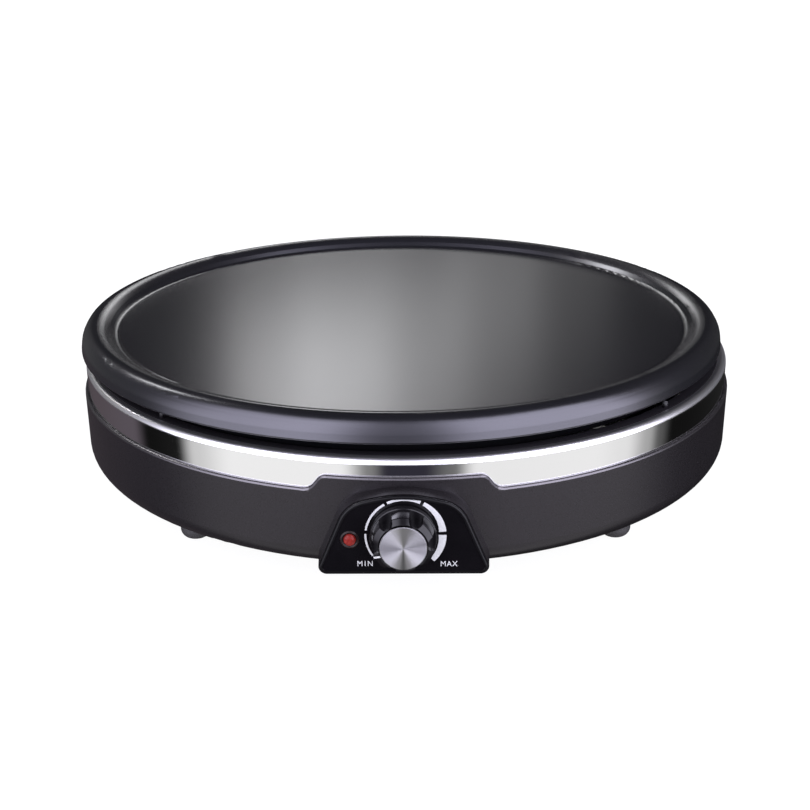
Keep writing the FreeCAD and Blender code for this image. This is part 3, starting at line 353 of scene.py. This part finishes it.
m.set(Base_Color=(1.0, 0.85, 0.75), Transmission_Weight=1.0, IOR=1.5)
m.put("Roughness", m.remap(m.noise(200.0, 2.0), 0.3, 0.7, 0.02, 0.06))
M["neon_glass"] = m

m = Mat("print_white")
m.set(Specular_IOR_Level=0.3)
m.put("Base Color", m.mix(m.remap(m.noise(1500.0, 2.0), 0.3, 0.7), (0.44, 0.44, 0.46), (0.53, 0.53, 0.55)))
m.put("Roughness", m.remap(m.noise(900.0, 2.0), 0.3, 0.7, 0.35, 0.5))
M["print_white"] = m

for part in frame["record"]["subparts"]:
    give(nodes[part["node"]], M[part["material_slot"]])
give(nodes["control_panel"], PANEL)
give(nodes["knob"], KNOB)
# the moulded edges of the grip are slightly rounded, so they catch the light
soften = nodes["knob"].modifiers.new("Edges", "BEVEL")
soften.width = 0.00022
soften.segments = 2
soften.limit_method = "ANGLE"
soften.angle_limit = math.radians(28.0)


# ------------------------------------------------------------------ piece helpers
def new_piece(name, bm, mat, body, smooth=True):
    me = bpy.data.meshes.new(name)
    bm.normal_update()
    bm.to_mesh(me)
    bm.free()
    for p in me.polygons:
        p.use_smooth = smooth
    ob = bpy.data.objects.new(name, me)
    scene.collection.objects.link(ob)
    me.materials.append(mat.m)
    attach(ob, body)
    return ob


DIAL = Vector((0.0, -0.1733, 0.0342))  # the dial's axis where it meets the panel
FACE_Y = -0.1728 - 0.00003  # just proud of the panel's recessed face


def panel_point(x, z, y=FACE_Y):
    """Millimetres right of and above the dial's axis, on the panel's face."""
    return Vector((x / 1000.0, y, DIAL.z + z / 1000.0))


PRINT_X, PRINT_Z = 0.8, -0.2  # the printed scale's centre, beside the dial's axis


def arc_strip(bm, a0, a1, inner, outer, steps=40, lift=0.00006):
    """A printed arc whose width may grow from one end to the other."""
    cols = []
    for i in range(steps + 1):
        t = i / steps
        a = math.radians(a0 + (a1 - a0) * t)
        ri, ro = inner(a0 + (a1 - a0) * t), outer
        cols.append([bm.verts.new(panel_point(PRINT_X + r * math.cos(a), PRINT_Z + r * math.sin(a), FACE_Y - up)) for r, up in ((ri, 0.0), (ri, lift), (ro, lift), (ro, 0.0))])
    for i in range(steps):
        for j in range(4):
            k = (j + 1) % 4
            bm.faces.new((cols[i][j], cols[i][k], cols[i + 1][k], cols[i + 1][j]))
    bm.faces.new(cols[0][::-1])
    bm.faces.new(cols[-1])


# ------------------------------------------------------------------ printed dial
def width_at(a):
    """Arc width in mm: thin at the low end, thick at the high end."""
    marks = ((214.5, 0.75), (172.0, 0.8), (121.0, 1.0), (68.0, 1.45), (62.0, 1.6), (6.0, 3.0), (0.0, 3.2), (-45.5, 2.1))
    for (a0, w0), (a1, w1) in zip(marks, marks[1:]):
        if a1 <= a <= a0:
            return w0 + (w1 - w0) * (a0 - a) / (a0 - a1)
    return marks[0][1] if a > marks[0][0] else marks[-1][1]


bm = bmesh.new()
OUTER = 16.5
for a0, a1 in ((214.5, 177.5), (172.0, 121.5), (117.0, 67.5), (62.5, 6.0), (0.5, -45.5)):
    arc_strip(bm, a0, a1, lambda a: OUTER - width_at(a), OUTER)
bmesh.ops.recalc_face_normals(bm, faces=bm.faces)
new_piece("dial_print", bm, M["print_white"], "base", smooth=False)


def word(text, x, z, size, spacing, body="base"):
    cu = bpy.data.curves.new("word_" + text, "FONT")
    cu.body = text
    cu.size = size
    cu.space_character = spacing
    cu.align_x = "CENTER"
    cu.align_y = "CENTER"
    cu.extrude = 0.00003
    cu.offset = 0.0
    ob = bpy.data.objects.new("word_" + text, cu)
    scene.collection.objects.link(ob)
    ob.matrix_world = Matrix.Translation(panel_point(x, z)) @ Matrix.Rotation(math.pi / 2, 4, "X") @ Matrix.Diagonal((0.92, 1.0, 1.0, 1.0))
    cu.materials.append(M["print_white"].m)
    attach(ob, body)
    return ob


word("MIN", -15.65, -13.05, 0.0034, 1.30)
word("MAX", 18.3, -13.25, 0.0034, 1.10)

# painted pointer on the knob: from the cap's edge out over the grip's shoulder
bm = bmesh.new()
pa = math.radians(201.5)
rad, tan = Vector((math.cos(pa), 0, math.sin(pa))), Vector((-math.sin(pa), 0, math.cos(pa)))
prev = None
for r, h in ((9.75, 11.40), (10.3, 11.20), (11.4, 10.75), (12.2, 10.35), (12.5, 10.10)):
    c = DIAL + rad * (r / 1000) + Vector((0, -h / 1000, 0))
    row = [bm.verts.new(c + tan * (0.00036 * s)) for s in (-1, 1)]
    if prev:
        bm.faces.new((prev[0], prev[1], row[1], row[0]))
    prev = row
ptr = new_piece("pointer_paint", bm, M["print_white"], "dial", smooth=False)
sol = ptr.modifiers.new("Thickness", "SOLIDIFY")
sol.thickness = 0.00025
sol.offset = 0.0


# ------------------------------------------------------------------ finely turned ring
def rounded(corners, per=14):
    """A closed outline from corners (r, z[, fillet]); gives points and which are sharp."""
    pts, sharp = [], []
    n = len(corners)
    for i, c in enumerate(corners):
        here = Vector(c[:2])
        if len(c) < 3:
            pts.append(here)
            sharp.append(True)
            continue
        a = (Vector(corners[i - 1][:2]) - here).normalized()
        b = (Vector(corners[(i + 1) % n][:2]) - here).normalized()
        half = a.angle(b) / 2
        mid = here + (a + b).normalized() * (c[2] / math.sin(half))
        start, end = here + a * (c[2] / math.tan(half)) - mid, here + b * (c[2] / math.tan(half)) - mid
        sweep = start.angle_signed(end)
        for k in range(per + 1):
            pts.append(mid + Matrix.Rotation(-sweep * k / per, 2) @ start)
            sharp.append(False)
    return pts, sharp


def turned(bm, corners, steps=480, per=14):
    """Turns an outline in millimetres about the Z axis."""
    pts, sharp = rounded(corners, per)
    rings = []
    for i in range(steps):
        t = 2 * math.pi * i / steps
        rings.append([bm.verts.new((p.x / 1000 * math.cos(t), p.x / 1000 * math.sin(t), p.y / 1000)) for p in pts])
    for i in range(steps):
        one, two = rings[i], rings[(i + 1) % steps]
        for j in range(len(pts)):
            k = (j + 1) % len(pts)
            bm.faces.new((one[j], two[j], two[k], one[k]))
    bm.edges.ensure_lookup_table()
    for i in range(steps):
        one, two = rings[i], rings[(i + 1) % steps]
        for j, is_sharp in enumerate(sharp):
            if is_sharp:
                bm.edges.get((one[j], two[j])).smooth = False


bm = bmesh.new()
turned(bm, [(163.3, 40.0), (163.3, 63.25, 2.7), (153.0, 62.05), (153.0, 61.25), (162.5, 62.4, 1.9), (162.5, 40.0)])
for k in range(4):
    made = bmesh.ops.create_cube(bm, size=1.0)["verts"]
    bmesh.ops.scale(bm, verts=made, vec=(0.0026, 0.0008, 0.0040))
    bmesh.ops.translate(bm, verts=made, vec=(0.1566, 0.0, 0.0636))
    bmesh.ops.rotate(bm, verts=made, cent=(0, 0, 0), matrix=Matrix.Rotation(math.radians(-42.5 + 90 * k), 3, "Z"))
    sides = [e for e in bm.edges if e.verts[0] in made and e.verts[1] in made and abs(e.verts[0].co.z - e.verts[1].co.z) > 0.001]
    bmesh.ops.bevel(bm, geom=sides, offset=0.00039, segments=4, affect="EDGES")
bmesh.ops.recalc_face_normals(bm, faces=bm.faces)
ring = new_piece("steel_ring_turned", bm, M["polished_steel"], "base")
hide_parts("steel_ring")


# ------------------------------------------------------------------ stage and light
bm = bmesh.new()
bmesh.ops.create_grid(bm, x_segments=1, y_segments=1, size=6.0)
me = bpy.data.meshes.new("floor")
bm.to_mesh(me)
bm.free()
floor = bpy.data.objects.new("floor", me)
floor.location = (0, 0, -0.0002)
scene.collection.objects.link(floor)
fm = Mat("floor_white")
fm.set(Base_Color=(0.12, 0.12, 0.12), Roughness=0.9, Specular_IOR_Level=0.05)
fm.set(Emission_Color=(1.0, 1.0, 1.0), Emission_Strength=0.93)
fm.put("Roughness", fm.remap(fm.noise(20.0), 0.3, 0.7, 0.85, 0.95))
give(floor, fm)
floor.visible_glossy = False

world = bpy.data.worlds.new("studio")
scene.world = world
world.use_nodes = True
wt = world.node_tree
wt.nodes.clear()
wout = wt.nodes.new("ShaderNodeOutputWorld")
wcoord = wt.nodes.new("ShaderNodeTexCoord")
wsep = wt.nodes.new("ShaderNodeSeparateXYZ")
wt.links.new(wcoord.outputs["Generated"], wsep.inputs[0])


def wmath(op, a, b=None, clamp=False):
    n = wt.nodes.new("ShaderNodeMath")
    n.operation = op
    n.use_clamp = clamp
    for i, v in enumerate((a, b)):
        if v is None:
            continue
        if isinstance(v, (int, float)):
            n.inputs[i].default_value = v
        else:
            wt.links.new(v, n.inputs[i])
    return n.outputs[0]


def wramp(value, stops):
    n = wt.nodes.new("ShaderNodeValToRGB")
    n.color_ramp.interpolation = "EASE"
    e = n.color_ramp.elements
    while len(e) > 1:
        e.remove(e[-1])
    e[0].position, e[0].color = stops[0][0], (*stops[0][1], 1)
    for p, c in stops[1:]:
        x = e.new(p)
        x.color = (*c, 1)
    wt.links.new(value, n.inputs[0])
    return n.outputs[0]


def wmix(fac, a, b):
    n = wt.nodes.new("ShaderNodeMix")
    n.data_type = "RGBA"
    wt.links.new(fac, n.inputs[0])
    cols = [i for i in n.inputs if i.type == "RGBA"]
    for s, v in zip(cols, (a, b)):
        if isinstance(v, tuple):
            s.default_value = (*v, 1)
        else:
            wt.links.new(v, s)
    return [o for o in n.outputs if o.type == "RGBA"][0]


# heading 0..1 around the object: 0.5 is the front, left of it below 0.5
heading = wmath("ADD", wmath("DIVIDE", wmath("ARCTAN2", wsep.outputs[0], wmath("MULTIPLY", wsep.outputs[1], -1.0)), 2 * math.pi), 0.5)


def az(deg):
    return 0.5 + deg / 360.0


g = lambda k: (k, k, k)
v = lambda k: (0.86 * k, 0.85 * k, k)  # the front lights are a little violet
# what lies below the horizon: bright tables left and right of the camera
low = wramp(heading, [
    (0.0, g(0.03)),
    (az(-140), (0.085, 0.07, 0.08)),
    (az(-108), (0.10, 0.085, 0.10)),
    (az(-99), g(0.006)),
    (az(-84), g(0.010)),
    (az(-76), g(0.62)),
    (az(-60), g(0.90)),
    (az(-22), g(0.90)),
    (az(-12), g(0.22)),
    (az(-6), (0.030, 0.028, 0.040)),
    (az(6), (0.030, 0.028, 0.040)),
    (az(16), g(0.16)),
    (az(24), g(0.86)),
    (az(66), g(0.88)),
    (az(80), g(0.80)),
    (az(91), g(0.40)),
    (az(97), g(0.10)),
    (az(104), g(0.006)),
    (az(180), g(0.02)),
])
# above it: two tall soft boxes in front, dark behind
high = wramp(heading, [
    (0.0, g(0.02)),
    (az(-160), g(0.03)),
    (az(-140), g(0.16)),
    (az(-93), g(0.20)),
    (az(-62), v(6.4)),
    (az(-28), v(8.6)),
    (az(-7), v(1.4)),
    (az(7), v(1.4)),
    (az(28), v(8.2)),
    (az(75), v(7.6)),
    (az(92), g(0.5)),
    (az(104), g(0.08)),
    (az(145), g(0.06)),
    (az(165), g(0.02)),
])
up = wmath("MULTIPLY", wmath("ADD", wsep.outputs[2], 0.24), 11.0, clamp=True)
# overhead it is dark again, so the plate keeps its contrast
over = wmath("MULTIPLY", wmath("SUBTRACT", wsep.outputs[2], 0.74), 6.0, clamp=True)
dome = wmix(over, wmix(up, low, high), (0.02, 0.02, 0.024))
path = wt.nodes.new("ShaderNodeLightPath")
bg_studio = wt.nodes.new("ShaderNodeBackground")
wt.links.new(dome, bg_studio.inputs[0])
bg_studio.inputs[1].default_value = 1.0
bg_white = wt.nodes.new("ShaderNodeBackground")
bg_white.inputs[0].default_value = (1, 1, 1, 1)
bg_white.inputs[1].default_value = 1.0
bg_soft = wt.nodes.new("ShaderNodeBackground")
bg_soft.inputs[0].default_value = (1, 1, 1, 1)
bg_soft.inputs[1].default_value = 1.0
mix1 = wt.nodes.new("ShaderNodeMixShader")
mix2 = wt.nodes.new("ShaderNodeMixShader")
wt.links.new(path.outputs["Is Diffuse Ray"], mix1.inputs[0])
wt.links.new(bg_studio.outputs[0], mix1.inputs[1])
wt.links.new(bg_soft.outputs[0], mix1.inputs[2])
wt.links.new(path.outputs["Is Camera Ray"], mix2.inputs[0])
wt.links.new(mix1.outputs[0], mix2.inputs[1])
wt.links.new(bg_white.outputs[0], mix2.inputs[2])
wt.links.new(mix2.outputs[0], wout.inputs[0])


def soft_box(name, at, aim, size_x, size_y, power, colour=(1, 1, 1)):
    ld = bpy.data.lights.new(name, "AREA")
    ld.shape = "RECTANGLE"
    ld.size, ld.size_y = size_x, size_y
    ld.energy = power
    ld.color = colour
    ob = bpy.data.objects.new(name, ld)
    scene.collection.objects.link(ob)
    ob.matrix_world = Matrix.Translation(Vector(at)) @ (Vector(aim) - Vector(at)).to_track_quat("-Z", "Y").to_matrix().to_4x4()
    ob.visible_camera = False
    return ob


# the lights behind that lay the broad sheen over the plate, brightest left of the middle
for i, (bx, bz, power) in enumerate(((-0.235, 0.67, 0.49), (-0.115, 0.65, 0.585), (0.01, 0.60, 0.255), (0.13, 0.51, 0.125), (0.25, 0.44, 0.04), (0.36, 0.42, 0.006))):
    soft_box("back_light_%d" % i, (bx, 1.30, bz), (bx * 0.35, 0.0, 0.075), 0.14, 0.30, power)
# a box high behind on the left, caught by the far right inside of the rim
side = soft_box("side_light", (-0.74, 0.60, 0.96), (0.115, 0.085, 0.076), 0.60, 0.42, 0.22)
side.data.spread = math.radians(20.0)

scene.view_settings.view_transform = "Standard"
scene.view_settings.look = "None"
